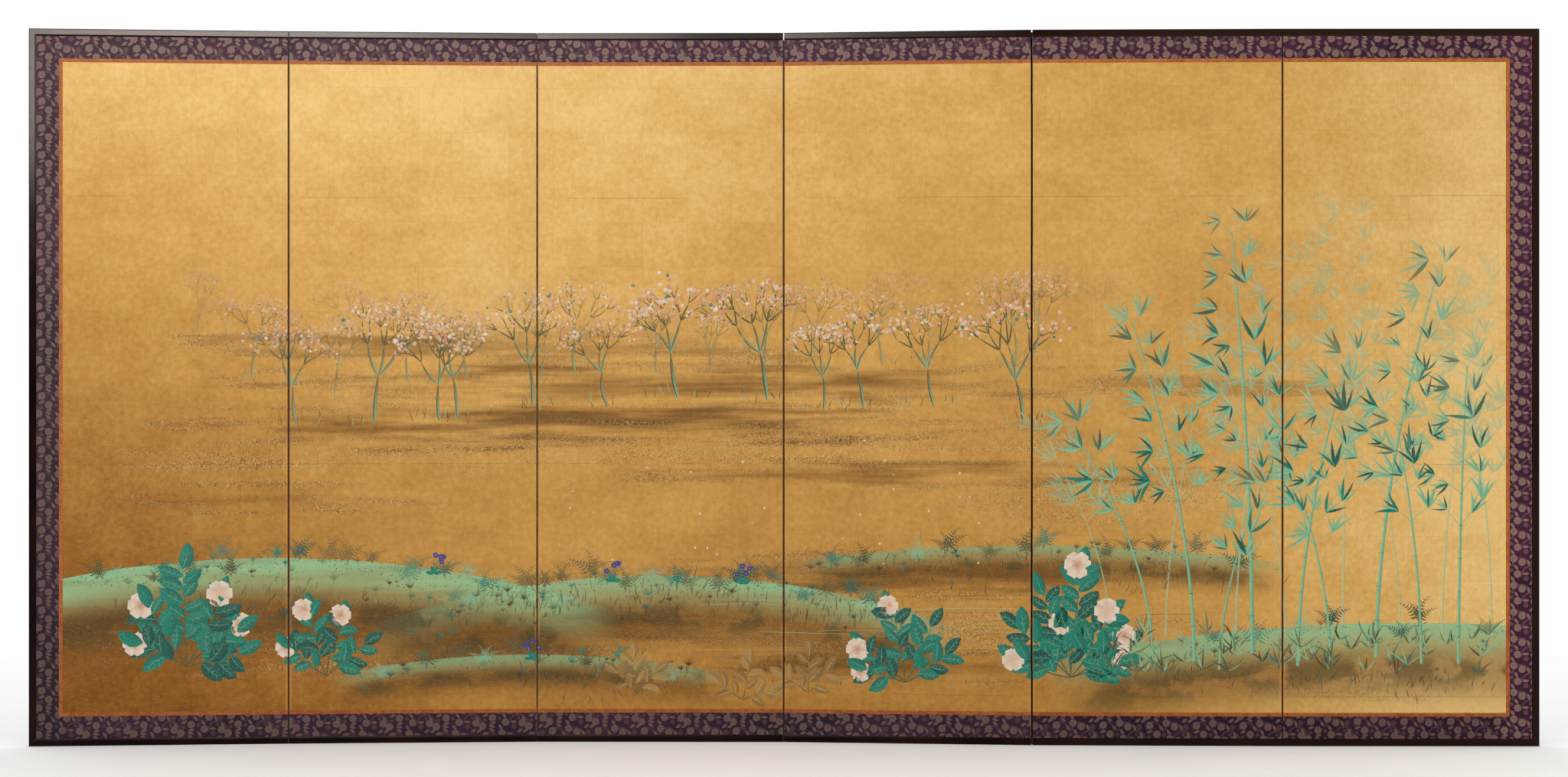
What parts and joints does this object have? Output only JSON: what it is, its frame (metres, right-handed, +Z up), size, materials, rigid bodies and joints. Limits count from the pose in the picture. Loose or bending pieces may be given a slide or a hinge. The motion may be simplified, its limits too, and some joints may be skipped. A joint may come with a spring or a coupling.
{
  "type": "folding screen",
  "caption": "Tall folding screen of hinged papered panels with a picture on a gold ground, silk brocade borders and a slim lacquered frame.",
  "frame": {"origin": "middle of the screen's footprint on the floor", "axes": "+X along the screen, from its left end to its right end as seen from the front; +Y from the front to the back; +Z up"},
  "size_m": [3.6664, 0.1164, 1.742],
  "materials": {
    "cedar": "planed, unfinished",
    "hinge_paper": "matte, dyed dark",
    "under_paper": "matte, layered",
    "picture": "gold ground on silk, satin",
    "inner_border": "patterned silk",
    "brocade": "figured silk",
    "back_cover": "matte, printed",
    "lacquer": "dark brown lacquer, satin"
  },
  "bodies": {
    "panel_1": {"panel_1_lattice_core": "cedar", "panel_1_hinge_papers": "hinge_paper", "panel_1_under_paper": "under_paper", "panel_1_picture": "picture", "panel_1_inner_border": "inner_border", "panel_1_brocade": "brocade", "panel_1_back_cover": "back_cover", "panel_1_top_rail": "lacquer", "panel_1_bottom_rail": "lacquer", "left_stile": "lacquer"},
    "panel_2": {"panel_2_lattice_core": "cedar", "panel_2_hinge_papers": "hinge_paper", "panel_2_under_paper": "under_paper", "panel_2_picture": "picture", "panel_2_inner_border": "inner_border", "panel_2_brocade": "brocade", "panel_2_back_cover": "back_cover", "panel_2_top_rail": "lacquer", "panel_2_bottom_rail": "lacquer"},
    "panel_3": {"panel_3_lattice_core": "cedar", "panel_3_hinge_papers": "hinge_paper", "panel_3_under_paper": "under_paper", "panel_3_picture": "picture", "panel_3_inner_border": "inner_border", "panel_3_brocade": "brocade", "panel_3_back_cover": "back_cover", "panel_3_top_rail": "lacquer", "panel_3_bottom_rail": "lacquer"},
    "panel_4": {"panel_4_lattice_core": "cedar", "panel_4_hinge_papers": "hinge_paper", "panel_4_under_paper": "under_paper", "panel_4_picture": "picture", "panel_4_inner_border": "inner_border", "panel_4_brocade": "brocade", "panel_4_back_cover": "back_cover", "panel_4_top_rail": "lacquer", "panel_4_bottom_rail": "lacquer"},
    "panel_5": {"panel_5_lattice_core": "cedar", "panel_5_hinge_papers": "hinge_paper", "panel_5_under_paper": "under_paper", "panel_5_picture": "picture", "panel_5_inner_border": "inner_border", "panel_5_brocade": "brocade", "panel_5_back_cover": "back_cover", "panel_5_top_rail": "lacquer", "panel_5_bottom_rail": "lacquer"},
    "panel_6": {"panel_6_lattice_core": "cedar", "panel_6_hinge_papers": "hinge_paper", "panel_6_under_paper": "under_paper", "panel_6_picture": "picture", "panel_6_inner_border": "inner_border", "panel_6_brocade": "brocade", "panel_6_back_cover": "back_cover", "panel_6_top_rail": "lacquer", "panel_6_bottom_rail": "lacquer", "right_stile": "lacquer"}
  },
  "joints": [
    {"name": "fold_1_2", "type": "hinge", "parent": "panel_2", "child": "panel_1", "pos_m": [-1.21072, -0.00263, 0], "axis": [0, 0, 1], "range_deg": [-6, 178.5]},
    {"name": "fold_2_3", "type": "hinge", "parent": "panel_3", "child": "panel_2", "pos_m": [-0.60704, 0.05895, 0], "axis": [0, 0, -1], "range_deg": [-0.3, 184.2]},
    {"name": "fold_3_4", "type": "hinge", "parent": "panel_3", "child": "panel_4", "pos_m": [-0.00086, 0.03116, 0], "axis": [0, 0, -1], "range_deg": [-10.1, 174.4]},
    {"name": "fold_4_5", "type": "hinge", "parent": "panel_4", "child": "panel_5", "pos_m": [0.6045, -0.0109, 0], "axis": [0, 0, 1], "range_deg": [-8.8, 175.7]},
    {"name": "fold_5_6", "type": "hinge", "parent": "panel_5", "child": "panel_6", "pos_m": [1.20989, -0.05244, 0], "axis": [0, 0, -1], "range_deg": [-2.9, 181.6]}
  ]
}
